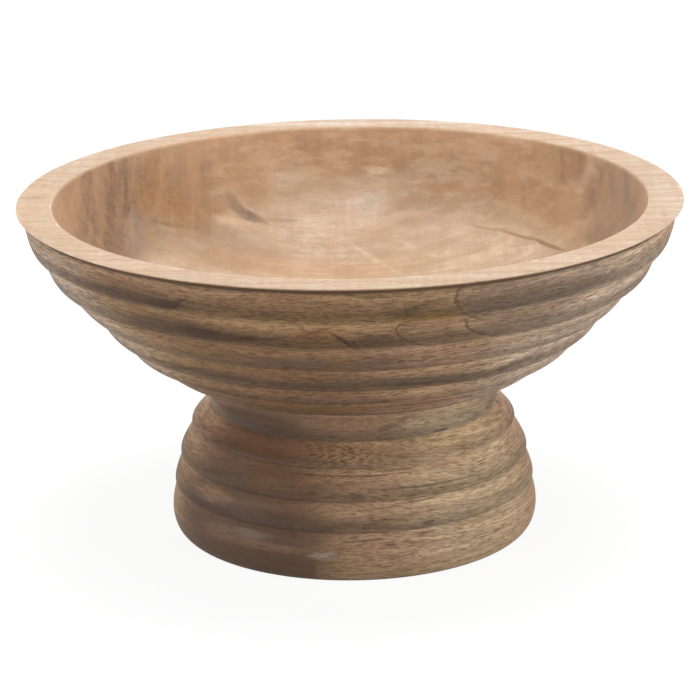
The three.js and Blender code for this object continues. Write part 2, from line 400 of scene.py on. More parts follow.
def unrolled(place, radius):
    """Turned sides laid flat: how far round from the front at this radius and how high, in metres."""
    parts = add_node("SeparateXYZ", {0: place}).outputs
    turn = sums("ARCTAN2", parts[0], sums("MULTIPLY", parts[1], -1.0))
    across = sums("MULTIPLY", turn, radius * MM)
    return add_node("CombineXYZ", {0: across, 1: parts[2]}).outputs[0]


def oval(flat, middle, reach, tilt):
    """The flat place seen from an oval's middle, with 1 at the oval's edge. Sizes in millimetres."""
    sockets = {
        "Vector": flat,
        "Location": (middle[0] * MM, middle[1] * MM, 0.0),
        "Rotation": (0.0, 0.0, math.radians(tilt)),
        "Scale": (reach[0] * MM, reach[1] * MM, 1.0),
    }
    return add_node("Mapping", sockets, vector_type="TEXTURE").outputs[0]


def on_side(degrees, height, radius):
    """A place on turned sides laid flat at this radius: degrees round from the front, and a height."""
    return math.radians(degrees) * radius, height


def stained(colour, flat, stains, radius=None):
    """The colour with soft oval stains laid on it, each: middle, reach, tilt, strength, tint. On
    turned sides laid flat at a radius, a middle is degrees round from the front, and a height."""
    for middle, reach, tilt, strength, tint in stains:
        middle = middle if radius is None else on_side(*middle, radius)
        away = length_of(oval(flat, middle, reach, tilt))
        colour = mixed(eased_step(away, 1.4, 0.45, 0.0, strength), colour, paint(*tint))
    return colour


def zone(colour, flat, middle, reach, strength, tint, line_tint):
    """A patch with a sharp left edge, drawn with a thin dark line, that fades out to the right."""
    local = oval(flat, middle, reach, 0.0)
    away = length_of(local)
    side = add_node("SeparateXYZ", {0: local}).outputs[0]
    within, leftward = eased_step(away, 1.01, 0.99), eased_step(side, 0.5, -0.5)
    filled = sums("MULTIPLY", within, leftward)
    colour = mixed(sums("MULTIPLY", filled, strength), colour, paint(*tint))
    ring = eased_step(sums("ABSOLUTE", sums("SUBTRACT", away, 1.0)), 0.022, 0.008)
    edge = sums("MULTIPLY", ring, eased_step(side, -0.55, -0.85, 0.0, 0.75))
    return mixed(edge, colour, paint(*line_tint))


def toned_by_height(colour, place, low, high, tones):
    """The colour times a grey that changes with height. Each tone is a height in millimetres and a
    grey, from the lowest up."""
    up = add_node("SeparateXYZ", {0: place}).outputs[2]
    sockets = {"Value": up, "From Min": low * MM, "From Max": high * MM}
    share = add_node("MapRange", sockets).outputs[0]
    ramp = add_node("ValToRGB", {0: share})
    for height, _ in tones[1:-1]:
        ramp.color_ramp.elements.new((height - low) / (high - low))
    for stop, (height, grey) in zip(ramp.color_ramp.elements, tones):
        stop.position = (height - low) / (high - low)
        stop.color = (grey, grey, grey, 1.0)
    return mixed(1.0, colour, ramp.outputs[0], "MULTIPLY")


def face_tones(top, bottom, greys):
    """Tones down one face, from the lowest up: each grey at its share of the way from the top."""
    return [(top + share * (bottom - top), grey) for share, grey in reversed(greys)]


def streaky_outline(flat, figure, reach):
    """The flat place moved by noise that is drawn out along the grain, so that a stain laid on it
    ends in streaks."""
    shake = noise(figure["bent"], (60.0, 420.0, 420.0), 4.0, 4.0, 0.6).outputs[1]
    return shaken(flat, shake, reach)


def unruled(flat, figure, reach):
    """The flat place moved a little by fine noise, so that a thin mark laid on it wavers."""
    shake = noise(figure["place"], (300.0, 500.0, 500.0), 14.0, 3.0, 0.6).outputs[1]
    return shaken(flat, shake, reach)


def new_tree(name):
    """A new material and its node tree, emptied."""
    material = bpy.data.materials.new(name)
    material.use_nodes = True
    tree = material.node_tree
    tree.nodes.clear()
    return material, tree


def grained(colour, figure, tints, strengths):
    """Growth rings, streaks, lines, fibres, pores and ripples laid over a colour in that order."""
    layers = (
        ("rings", 0.3, 1.0), ("streaks", 0.45, 0.58), ("lines", 0.45, 0.58),
        ("fibres", 0.45, 0.6), ("pores", 0.0, 0.8), ("ripples", 0.42, 0.62),
    )
    for (key, low, high), tint, strength in zip(layers, tints, strengths):
        amount = eased_step(figure[key], low, high, 0.0, strength)
        colour = mixed(amount, colour, paint(*tint))
    return colour


def painted_edge_light_and_crease_shade(colour, edge_tint, crease_tint, edge_light, crease_shade):
    """Outer edges painted paler, a painted highlight, and inner corners painted darker, a painted shade,
    by how sharply the surface bends.
    """
    bend = add_node("NewGeometry").outputs["Pointiness"]
    colour = mixed(eased_step(bend, 0.515, 0.56, 0.0, edge_light), colour, paint(*edge_tint))
    return mixed(eased_step(bend, 0.48, 0.43, 0.0, crease_shade), colour, paint(*crease_tint))


def finish_wood(colour, figure, roughness, depth_mm):
    """Joins the colour to a matt bare-wood surface. Its pores are cut in, its fibres stand up, and
    its roughness varies with the streaks."""
    cut_in = sums("MULTIPLY", figure["pores"], -1.0)
    relief = sums("MULTIPLY_ADD", figure["fibres"], 0.5, cut_in)
    bump = add_node("Bump", {"Height": relief, "Distance": depth_mm * MM, "Strength": 1.0})
    uneven = eased_step(figure["streaks"], 0.3, 0.7, roughness - 0.07, roughness + 0.07)
    sockets = {"Base Color": colour, "Roughness": uneven, "Normal": bump.outputs[0]}
    surface = add_node("BsdfPrincipled", sockets)
    surface.inputs["Specular IOR Level"].default_value = 0.3
    add_node("OutputMaterial", {"Surface": surface.outputs[0]})


BOWL_PITH = (210.0, 60.0)
bowl_inside_wood, tree = new_tree("sanded_inside_wood")
figure = wood_figure(BOWL_PITH, 11.0, 3.1)
cloudy = patchy(figure["bent"], (11.0, 24.0, 24.0), 5.0, 4.0, 0.36, 0.64)
warm = patchy(figure["bent"], (9.0, 20.0, 20.0), 9.0, 3.0, 0.46, 0.66, 0.5)
colour = mixed(cloudy, paint(238, 215, 190), paint(220, 190, 162))
colour = mixed(warm, colour, paint(218, 182, 146))
ragged = noise(figure["place"], (34.0, 60.0, 60.0), 4.0, 3.0).outputs[1]
SEEN_FROM_ABOVE = (1.0, 1.0, 0.0)
calm_flat = vectors("MULTIPLY", figure["place"], SEEN_FROM_ABOVE)
flat = shaken(figure["place"], ragged, (0.016, 0.016, 0.0))
flat = vectors("MULTIPLY", flat, SEEN_FROM_ABOVE)
from_axis = length_of(calm_flat)
# The walls are painted browner and mottled: their end grain, together with painted shade on the steep
# walls.
WALL_STARTS, WALL_FULL = 100.0, 124.0
wall_grain_and_shade = eased_step(from_axis, WALL_STARTS * MM, WALL_FULL * MM, 0.0, 0.85)
mottled = noise(figure["place"], (60.0, 60.0, 160.0), 12.0, 4.0, 0.65).outputs[0]
wall_grain_and_shade = sums("MULTIPLY", wall_grain_and_shade, eased_step(mottled, 0.36, 0.58, 0.72, 1.0))
colour = mixed(wall_grain_and_shade, colour, paint(180, 142, 108))
INSIDE_STAINS = (
    # brown end grain on the left wall, darker and greyer half way up it
    ((-119, 40), (62, 19), 68, 0.95, (130, 104, 84)),
    ((-131, 10), (13, 48), 0, 0.9, (122, 98, 78)),
    ((-107, 74), (14, 10), 63, 0.8, (108, 86, 70)),
    ((-127, 38), (12, 26), -15, 0.9, (96, 74, 58)),
    ((-102, 58), (16, 4), 80, 0.57, (170, 150, 138)),
    # the amber patch, the brown wedge above it and the darker wood at its two ends
    ((-84, 88), (20, 10), 35, 0.95, (162, 120, 72)),
    ((-77, 104), (13, 8), 40, 0.8, (160, 126, 98)),
    ((-93, 92), (12, 5), 50, 0.69, (148, 116, 84)),
    ((-67, 93), (9, 4), 60, 0.69, (164, 122, 80)),
    # brown patches on the back wall
    ((-24, 132), (13, 2.6), 0, 0.69, (158, 120, 92)),
    ((-50, 119), (16, 3), 22, 0.4, (196, 154, 112)),
    ((18, 130), (16, 2.2), 0, 0.34, (186, 142, 104)),
    ((56, 110), (20, 2.4), -28, 0.57, (184, 140, 102)),
    ((78, 97), (13, 4), -42, 0.4, (178, 136, 104)),
    ((100, 70), (12, 5), -56, 0.57, (184, 148, 114)),
    # darker end grain on the right wall, and duller floor at the left
    ((126, 22), (18, 56), -8, 0.92, (104, 78, 56)),
    ((107, 81), (12, 5), -50, 0.75, (120, 84, 56)),
    ((119, 56), (10, 6), -60, 0.8, (104, 68, 42)),
    ((127, 26), (6, 18), -8, 0.9, (78, 54, 36)),
    ((-60, 76), (34, 17), 15, 0.75, (172, 142, 114)),
    # grey streaks behind the middle of the floor
    ((44, 99), (26, 2.6), -22, 0.52, (190, 162, 138)),
    # pale patches on the floor
    ((-14, 108), (34, 8), 0, 0.57, (240, 214, 188)),
    ((-4, 121), (40, 6), 0, 0.5, (240, 214, 186)),
    ((9, 115), (13, 4), 0, 0.75, (244, 226, 208)),
    ((62, 68), (36, 24), -42, 0.63, (244, 216, 186)),
    ((-55, 96), (11, 3), 8, 0.57, (240, 208, 172)),
    # peach floor at the front, pinkish at its left
    ((-18, 68), (52, 13), 0, 0.57, (222, 178, 136)),
    ((-80, 58), (16, 9), 30, 0.46, (216, 176, 146)),
    # rim: warmer wood at the left, paler at the right, a brown smudge at the left and at the front
    ((-152, 10), (30, 90), 0, 0.52, (218, 182, 152)),
    ((150, 20), (40, 110), 0, 0.3, (230, 210, 190)),
    ((-145, 5.5), (7, 5), 0, 0.57, (178, 142, 114)),
    ((-30, -143), (14, 5), 0, 0.4, (190, 168, 146)),
)
INSIDE_MARKS = (
    # the dark line under the amber patch, with bluish wood below it
    ((-85, 79.5), (12, 1.2), 28, 0.78, (142, 112, 82)),
    ((-96, 72), (5, 1.6), 60, 0.78, (128, 112, 102)),
    # the dark crescent by a knot: its shoulder, its body, its foot and its tail
    ((-56, 106), (5, 2.6), -35, 0.95, (122, 100, 88)),
    ((-50.5, 103.2), (9.5, 2.4), -8, 0.95, (104, 84, 78)),
    ((-50, 101), (5, 1.4), 0, 0.78, (140, 120, 114)),
    ((-34, 104.6), (9, 1.1), 9, 0.65, (186, 156, 130)),
    # a pale dash on the back wall and pale streaks across the grain on the near floor
    ((14, 127.6), (8, 1.1), -8, 0.78, (240, 212, 182)),
    ((9, 82), (22, 1.8), -51, 0.65, (244, 218, 190)),
    ((35, 82), (18, 2.8), -46, 0.52, (244, 218, 190)),
    # the thin dark arc at the right
    ((67, 85.5), (13, 0.8), -38, 0.45, (170, 132, 102)),
    ((82, 71), (14, 0.9), -49, 0.78, (160, 122, 92)),
    ((94.5, 53.5), (15, 1.0), -60, 0.91, (156, 118, 88)),
    # an olive hairline on the rim at the right
    ((145, -1), (8, 0.8), 4, 0.65, (184, 160, 130)),
)
colour = stained(colour, flat, INSIDE_STAINS)
colour = stained(colour, calm_flat, INSIDE_MARKS)
colour = mixed(eased_step(mottled, 0.44, 0.60, 0.0, 0.22), colour, paint(140, 102, 72))
RIM_STAINS = (
    # paler, cooler wood at the back and at the right of the rim
    ((20, 147), (110, 9), 0, 0.5, (242, 230, 218)),
    ((148, -10), (9, 70), 0, 0.3, (242, 228, 212)),
    # warmer wood at the left, and a brown smudge there
    ((-146, 10), (9, 90), 0, 0.4, (230, 194, 158)),
    ((-145, 5.5), (7, 5), 0, 0.5, (178, 142, 114)),
)
inside_tints = (
    (192, 148, 110), (196, 154, 118), (196, 156, 122), (186, 146, 112), (158, 118, 86), (204, 164, 128),
)
RIM_STARTS, RIM_FULL = 135.8, 137.2
on_rim = eased_step(from_axis, RIM_STARTS * MM, RIM_FULL * MM)
colour = mixed(sums("MULTIPLY", on_rim, 0.8), colour, paint(232, 208, 180))
colour = stained(colour, calm_flat, RIM_STAINS)
colour = grained(colour, figure, inside_tints, (0.2, 0.2, 0.12, 0.14, 0.3, 0.3))
rim_tints = (
    (206, 168, 134), (188, 150, 116), (182, 144, 110), (176, 136, 104), (140, 104, 76), (210, 176, 144),
)
rim_grain = grained(colour, figure, rim_tints, (0.06, 0.06, 0.06, 0.3, 0.35, 0.06))
colour = mixed(on_rim, colour, rim_grain)
finish_wood(colour, figure, roughness=0.6, depth_mm=0.03)

OUTSIDE_LAID_FLAT_AT = 130.0
bowl_outside_wood, tree = new_tree("toned_outside_wood")
figure = wood_figure((30.0, -150.0), 9.0, 3.1, 0.06)
cloudy = patchy(figure["bent"], (10.0, 60.0, 60.0), 5.0, 4.0, 0.38, 0.62)
pinkish = patchy(figure["bent"], (16.0, 70.0, 70.0), 11.0, 3.0, 0.48, 0.62, 0.6)
olive = patchy(figure["bent"], (18.0, 80.0, 80.0), 17.0, 3.0, 0.50, 0.62, 0.6)
colour = mixed(cloudy, paint(222, 181, 142), paint(196, 155, 116))
colour = mixed(pinkish, colour, paint(212, 166, 142))
colour = mixed(olive, colour, paint(202, 170, 116))
calm_flat = unrolled(figure["place"], OUTSIDE_LAID_FLAT_AT)
flat = streaky_outline(calm_flat, figure, (0.022, 0.004, 0.0))
OUTSIDE_TONES_AND_LIGHT = (
    # paler at the left and right ends of every ridge: paler wood, with painted light where the ridges
    # turn away at the sides
    ((-68, 118), (44, 60), 0, 0.75, (248, 222, 198)),
    ((52, 112), (56, 60), 0, 0.8, (240, 214, 188)),
    # darker wood left of the front, tan wood at the front
    ((-18, 110), (60, 80), 0, 0.65, (143, 103, 64)),
    ((-8, 146), (52, 16), 0, 0.45, (214, 172, 128)),
)
colour = stained(colour, calm_flat, OUTSIDE_TONES_AND_LIGHT, OUTSIDE_LAID_FLAT_AT)
OUTSIDE_STAINS = (
    # golden wood at the front of the first ridge, olive wood beside it
    ((-6, 144), (48, 5), 0, 0.59, (184, 142, 96)),
    ((13, 142.5), (15, 3), 0, 0.91, (190, 148, 82)),
    ((10.5, 147), (11, 2.4), 20, 0.78, (134, 114, 82)),
    # dark mottled wood on the first ridge at the left
    ((-54, 144.5), (24, 3), 0, 0.65, (140, 114, 96)),
    ((-40, 145), (26, 3.6), 0, 0.95, (122, 92, 72)),
    ((-33, 144.6), (9, 2.4), 0, 0.95, (88, 64, 48)),
    # dark mottled wood on the second ridge at the left
    ((-33, 132), (30, 4.6), 0, 0.91, (116, 94, 78)),
    ((-26.5, 131), (11, 3.2), 0, 0.95, (82, 64, 52)),
    # the golden brown wedge beside the knot, and darker wood right of it
    ((-6, 133), (11, 4.6), 15, 0.72, (178, 130, 82)),
    ((4, 131), (11, 4.4), 0, 0.72, (128, 98, 72)),
    ((-12, 137.5), (34, 1.6), 0, 0.65, (214, 176, 126)),
    # greenish and pinkish wood on the third ridge
    ((-9.5, 118), (13, 3), 0, 0.78, (144, 124, 102)),
    ((-18, 117), (9, 3), 0, 0.59, (178, 134, 120)),
    ((5, 119), (12, 4), 0, 0.65, (160, 124, 108)),
    # dark streaks on the fourth ridge, grey-green at its front
    ((-29, 104), (20, 2.2), 0, 0.91, (114, 94, 78)),
    ((-11, 103.2), (28, 1.8), 0, 0.78, (118, 92, 72)),
    ((14, 104), (44, 2.6), -2, 0.91, (120, 108, 88)),
    ((40, 105.5), (13, 1.8), 8, 0.65, (124, 112, 92)),
    # pinkish wood on the two lowest ridges
    ((-4, 93), (34, 3.4), 0, 0.59, (170, 132, 114)),
    ((14, 85.5), (30, 2.2), 0, 0.65, (158, 122, 106)),
    # grey wood right of the first zone line
    ((34, 151), (40, 3), 0, 0.52, (168, 140, 124)),
    ((36, 145), (46, 4), 0, 0.72, (138, 124, 104)),
)
OUTSIDE_MARKS = (
    # the black edge of the dark wood on the first ridge
    ((-29.8, 146.2), (5.4, 1.1), 32, 0.95, (72, 52, 38)),
    ((-32.5, 143.2), (6, 0.9), 6, 0.88, (70, 50, 38)),
    # the black feather and its tip on the second ridge
    ((-19.5, 130.2), (8.5, 1.4), 8, 0.95, (72, 54, 42)),
    ((-14, 131.4), (7, 0.8), 12, 0.75, (96, 74, 54)),
    # the dark slanting line by the knot at the front, and a paler one behind it
    ((-1.6, 131.4), (6.8, 1.0), -40, 0.95, (74, 50, 36)),
    ((0.6, 128.8), (2.6, 1.1), -50, 0.88, (60, 40, 30)),
    ((-6.5, 135.2), (7, 0.7), 22, 0.62, (120, 88, 60)),
    # thin streaks on the third, fourth and fifth ridges
    ((-13, 124.4), (12, 0.5), 0, 0.75, (118, 92, 66)),
    ((-39.5, 104.2), (17, 1.0), 8, 0.94, (106, 86, 70)),
    ((12, 102.8), (22, 0.6), -2, 0.62, (92, 80, 62)),
    ((-30.5, 93.8), (4, 0.8), 12, 0.62, (126, 102, 84)),
    # a short dark tick and a dark dot on the first ridge
    ((9, 145), (1.2, 1.4), 20, 0.75, (88, 66, 44)),
    ((10.3, 147.4), (1.2, 0.8), 0, 0.75, (88, 66, 44)),
)
mark_flat = unruled(calm_flat, figure, (0.003, 0.002, 0.0))
# Three patches of wood at the right, each: middle, reach, strength, tint and its line's tint.
ZONES = (
    ((24, 135.5), (37, 11.8), 0.5, (150, 122, 92), (62, 46, 36)),
    ((42, 137), (50, 13.6), 0.5, (176, 148, 124), (84, 64, 52)),
    ((40, 150), (52, 19), 0.55, (156, 134, 116), (76, 60, 48)),
)
for middle, *patch in ZONES:
    colour = zone(colour, mark_flat, on_side(*middle, OUTSIDE_LAID_FLAT_AT), *patch)
colour = stained(colour, flat, OUTSIDE_STAINS, OUTSIDE_LAID_FLAT_AT)
colour = stained(colour, mark_flat, OUTSIDE_MARKS, OUTSIDE_LAID_FLAT_AT)
outside_tints = (
    (148, 114, 80), (116, 84, 56), (108, 78, 52), (96, 68, 46), (46, 34, 24), (164, 128, 92),
)
colour = grained(colour, figure, outside_tints, (0.22, 0.28, 0.26, 0.62, 0.6, 0.06))
# Painted shading on every ridge: a painted light along its top and painted shade that darkens down its
# face. The greys stand at these shares of the way down, one row for each ridge from the top.
GREY_SHARES = (0.02, 0.12, 0.38, 0.68, 0.93)
RIDGE_SHADING_GREYS = (
    (0.59, 0.74, 0.61, 0.45, 0.41),
    (0.64, 0.77, 0.75, 0.40, 0.40),
    (0.73, 0.76, 0.76, 0.50, 0.50),
    (0.75, 0.73, 0.61, 0.39, 0.39),
    (0.65, 0.67, 0.68, 0.48, 0.45),
    (0.70, 0.70, 0.67, 0.49, 0.49),
)
ridge_heights = [shoulder[1], *ridge_stops[:, 1]]
ridge_painted_shading = []
for top, end, greys in reversed(list(zip(ridge_heights, ridge_heights[1:], RIDGE_SHADING_GREYS))):
    ridge_painted_shading += face_tones(top, end, list(zip(GREY_SHARES, greys)))
place = figure["place"]
# The ridges' painted light and shade, as greys multiplied into the colour.
colour = toned_by_height(colour, place, UNDERSIDE_HEIGHT, shoulder[1], ridge_painted_shading)
# Painted highlight on the outer edges and painted shade in the inner corners.
colour = painted_edge_light_and_crease_shade(colour, (222, 190, 158), (84, 62, 46), 0.35, 0.35)
# The undercut under the lip is painted dark as shade, darkest in its corner. The painted shade fades out
# between two heights below the rim's top and two above the shoulder, and round the corner's own height.
BELOW_RIM = (0.1, 0.4)
ABOVE_SHOULDER = (0.2, 0.6)
CORNER_RISE = 0.35
ROUND_CORNER = (0.6, 0.3)
height_up = add_node("SeparateXYZ", {0: place}).outputs[2]
under_rim = eased_step(height_up, *[(RIM_HEIGHT - drop) * MM for drop in BELOW_RIM])
over_shoulder = [(shoulder[1] + rise) * MM for rise in ABOVE_SHOULDER]
over_shoulder = eased_step(height_up, *over_shoulder, 0.0, 0.9)
undercut_shade = sums("MULTIPLY", under_rim, over_shoulder)
# Painted shade in the undercut.
colour = mixed(undercut_shade, colour, paint(98, 74, 52))
from_corner = sums("SUBTRACT", height_up, (shoulder[1] + CORNER_RISE) * MM)
from_corner = sums("ABSOLUTE", from_corner)
corner_shade = eased_step(from_corner, *[reach * MM for reach in ROUND_CORNER], 0.0, 0.6)
# Painted shade, darker still, in the undercut's corner.
colour = mixed(corner_shade, colour, paint(58, 42, 32))
finish_wood(colour, figure, roughness=0.68, depth_mm=0.07)

bowl.data.materials.append(bowl_inside_wood)
bowl.data.materials.append(bowl_outside_wood)
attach(bowl, "root")
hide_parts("bowl")

# The foot
# Turned from a second, browner block: a short neck, three rounded beads that each lap over the
# next, and a base band. It is hollowed underneath and its round spigot is glued into the bowl.
NECK_RADIUS = 65.5
NECK_FLARE = 1.1
NECK_HOLLOW = 0.4
SEAT_HEIGHT = 77.3
BEADS_TOP_HEIGHT = 61.4
BAND_TOP_HEIGHT = 24.2
BAND_TOP_SETBACK = 2.7
FOOT_RADIUS = 85.2
BAND_WIDEST_HEIGHT = 12.8
BAND_ROUND_HEIGHT = 10.7
BAND_ROUND_DEPTH = 7.3
BAND_ROUND_FULLNESS = 0.92
BAND_SWELL = 0.3
# Each bead: its share of the way out, its share of the way down, and how far it swells.
BEADS = (
    (45, 27, 2.2),
    (35, 37, 1.9),
    (20, 36, 1.5),
)
BEAD_LEAN = 1.2
HOLLOW_MOUTH_RADIUS = 62.0
HOLLOW_CEILING_RADIUS = 44.0
HOLLOW_DEPTH = 43.0
HOLLOW_CORNER_RADIUS = 9.0
SPIGOT_RADIUS = 48.0
SPIGOT_HEIGHT = 81.6
SPIGOT_CORNER_RADII = (0.4, 0.3)
STAND_INNER_EDGE_RADIUS = 0.6
NECK_STEPS = 10
BEAD_STEPS = 24
BAND_STEPS = 8
BAND_ROUND_STEPS = 14
HOLLOW_CORNER_STEPS = 10
HOLLOW_LONGEST_STEP = 2.2
EVEN_LEAN = 0.5

neck_top = (NECK_RADIUS, SEAT_HEIGHT)
beads_top = (NECK_RADIUS + NECK_FLARE, BEADS_TOP_HEIGHT)
band_top = (FOOT_RADIUS - BAND_TOP_SETBACK, BAND_TOP_HEIGHT)
stand_edge = (FOOT_RADIUS - BAND_ROUND_DEPTH, 0.0)


def beaded_outside(stops):
    """The foot's outside from the neck down: a hollow neck, three swollen beads that share the way
    to the base band, the band, and the rounded edge that it stands on."""
    parts = [swollen_face(neck_top, beads_top, -NECK_HOLLOW, EVEN_LEAN, NECK_STEPS)[:-1]]
    for top, stop, (_, _, swell) in zip([beads_top, *stops], stops, BEADS):
        parts.append(swollen_face(top, stop, swell, BEAD_LEAN, BEAD_STEPS)[:-1])
    band_widest = (FOOT_RADIUS, BAND_WIDEST_HEIGHT)
    parts.append(swollen_face(band_top, band_widest, BAND_SWELL, EVEN_LEAN, BAND_STEPS)[:-1])
    round_start = (FOOT_RADIUS, BAND_ROUND_HEIGHT)
    round_pull = (
        stand_edge[0] + BAND_ROUND_DEPTH * BAND_ROUND_FULLNESS,
        BAND_ROUND_HEIGHT * (1.0 - BAND_ROUND_FULLNESS),
    )
    parts.append(bezier([round_start, round_pull, stand_edge], BAND_ROUND_STEPS))
    return np.vstack(parts)


spigot = eased(
    [(0.0, SPIGOT_HEIGHT), (SPIGOT_RADIUS, SPIGOT_HEIGHT), (SPIGOT_RADIUS, SEAT_HEIGHT), neck_top],
    SPIGOT_CORNER_RADII,
)
hollow = eased(
    [stand_edge, (HOLLOW_MOUTH_RADIUS, 0.0), (HOLLOW_CEILING_RADIUS, HOLLOW_DEPTH), (0.0, HOLLOW_DEPTH)],
    (STAND_INNER_EDGE_RADIUS, HOLLOW_CORNER_RADIUS),
    HOLLOW_CORNER_STEPS,
)
bead_stops = stops_along(beads_top, band_top, BEADS)
foot_outside = np.vstack([spigot[:-1], beaded_outside(bead_stops)])
foot_outside = crisp(evenly_filled(foot_outside, OUTSIDE_LONGEST_STEP))
foot_hollow = evenly_filled(hollow, HOLLOW_LONGEST_STEP)
foot = turned_mesh("turned_foot", np.vstack([foot_outside, foot_hollow[1:]]), [len(foot_outside) - 1])

FOOT_LAID_FLAT_AT = 78.0
foot_wood, tree = new_tree("brown_foot_wood")
figure = wood_figure((20.0, -120.0), 8.0, 6.7, 0.06)
cloudy = patchy(figure["bent"], (10.0, 50.0, 50.0), 7.0, 4.0, 0.38, 0.62)
warm = patchy(figure["bent"], (10.0, 40.0, 40.0), 19.0, 3.0, 0.47, 0.64, 0.5)
colour = mixed(cloudy, paint(213, 176, 137), paint(186, 147, 107))
colour = mixed(warm, colour, paint(204, 160, 128))
calm_flat = unrolled(figure["place"], FOOT_LAID_FLAT_AT)
flat = streaky_outline(calm_flat, figure, (0.016, 0.003, 0.0))
FOOT_TONES_AND_LIGHT = (
    # darker brown at the left, darker wood with painted shade under the bowl, and paler tan at the
    # right, paler wood with painted light from the right
    ((-38, 32), (42, 60), 0, 0.95, (108, 70, 44)),
    ((-40, 14), (44, 24), 0, 0.95, (84, 56, 38)),
    ((44, 34), (38, 60), 0, 0.8, (235, 204, 160)),
)
colour = stained(colour, calm_flat, FOOT_TONES_AND_LIGHT, FOOT_LAID_FLAT_AT)
# Painted shading: the neck is painted darker down to its groove, each bead has a painted light along its
# top and painted shade lower down, and the base band is painted darker towards its lower edge.
NECK_SHADING_GREYS = ((0.0, 0.53), (0.35, 0.55), (0.8, 0.35), (0.99, 0.28))
BEAD_SHADING_GREYS = ((0.0, 0.66), (0.1, 0.81), (0.4, 0.76), (0.75, 0.48), (0.99, 0.39))
BEAD_PAINTED_LIGHT = (1.14, 0.92, 0.9)
BAND_SHADING_GREYS = ((0.0, 0.69), (0.3, 0.69), (0.7, 0.63), (0.9, 0.55), (0.99, 0.36))
bead_heights = [BEADS_TOP_HEIGHT, *bead_stops[:, 1]]
foot_painted_shading = face_tones(BAND_TOP_HEIGHT, 0.0, BAND_SHADING_GREYS)
for top, end, brightness in reversed(list(zip(bead_heights, bead_heights[1:], BEAD_PAINTED_LIGHT))):
    foot_painted_shading += face_tones(top, end, [(share, grey * brightness) for share, grey in BEAD_SHADING_GREYS])
foot_painted_shading += face_tones(SEAT_HEIGHT, BEADS_TOP_HEIGHT, NECK_SHADING_GREYS)
FOOT_STAINS = (
    # the neck: dark brown at the left, darker wood with painted shade under the bowl, and reddish at the
    # front
    ((-45, 66), (30, 5), 0, 0.9, (104, 68, 40)),
    ((-6, 69), (20, 3), 0, 0.52, (196, 146, 116)),
    ((13.5, 67.5), (5.5, 1.3), 10, 0.78, (138, 98, 82)),
    ((21, 70.5), (6, 1.1), 8, 0.65, (150, 110, 94)),
    # greenish and olive patches low on the second bead, dark grey at its front
    ((-42, 42.5), (8, 2.8), 0, 0.85, (106, 88, 62)),
    ((-25, 42), (16, 3.4), 0, 0.65, (150, 112, 76)),
    ((0.5, 40.4), (3.6, 1.8), 0, 0.55, (104, 92, 82)),
    ((22, 39.6), (24, 1.4), 0, 0.65, (180, 146, 98)),
    ((31, 49.2), (12, 1.3), 0, 0.65, (210, 160, 134)),
    # grey brown patch low on the third bead, then speckled wood
    ((-36, 28), (11, 3), 0, 0.78, (118, 94, 76)),
    ((-16, 26.8), (16, 1.8), 0, 0.72, (122, 100, 84)),
    ((-52, 32), (12, 4), 0, 0.52, (198, 150, 112)),
    ((4, 29), (12, 3), 0, 0.52, (168, 126, 100)),
    # the base band: bluish grey at the left and at the front, brown flecks between
    ((-34, 19.6), (8, 2.2), 0, 0.65, (140, 124, 116)),
    ((-42, 17), (16, 4), 0, 0.52, (150, 116, 90)),
    ((-10, 14.6), (6, 2.2), 4, 0.65, (188, 168, 150)),
    ((-27, 15.5), (14, 2), 0, 0.52, (160, 118, 96)),
)
FOOT_MARKS = (
    # the dark line in the groove under the neck, and a tick on the neck
    ((36, 62.2), (6, 0.6), 0, 0.91, (92, 76, 54)),
    ((30.5, 67), (1.8, 0.5), 0, 0.65, (120, 92, 68)),
    # the hairline crack along the top of the second bead
    ((-7, 48.5), (38, 0.28), 0, 0.95, (98, 66, 48)),
    ((16, 50.2), (10, 0.3), 2, 0.65, (130, 94, 70)),
    # dark lines along the grain on the second and third beads
    ((24, 42.6), (26, 0.5), -1, 0.78, (122, 100, 74)),
    ((18, 39.2), (3, 0.5), 0, 0.78, (112, 86, 60)),
    ((20, 36.2), (14, 0.4), 2, 0.72, (124, 100, 74)),
    ((8, 34.6), (12, 0.4), 4, 0.65, (128, 102, 76)),
    ((22, 31.2), (12, 0.5), 2, 0.59, (138, 112, 92)),
    ((10, 29.6), (9, 0.5), 3, 0.65, (130, 102, 80)),
    ((23, 26.6), (3, 0.9), 0, 0.78, (124, 92, 68)),
    ((44, 31), (14, 0.4), -6, 0.45, (140, 112, 84)),
    # dark lines on the base band
    ((4, 20.8), (9, 0.6), 3, 0.78, (112, 96, 84)),
    ((21.5, 22), (4.5, 0.8), 0, 0.85, (142, 100, 70)),
    ((10.5, 18.2), (3, 0.4), 2, 0.65, (124, 98, 78)),
    ((12, 12.6), (8, 0.4), 2, 0.65, (130, 104, 80)),
    ((3, 14.8), (8, 0.5), 3, 0.59, (140, 112, 88)),
    # the pale scratch on both sides of the groove at the right
    ((29, 24.6), (7, 0.7), 1, 0.95, (246, 222, 194)),
    ((26.5, 23.7), (4, 0.5), 1, 0.95, (246, 222, 194)),
)
colour = stained(colour, flat, FOOT_STAINS, FOOT_LAID_FLAT_AT)

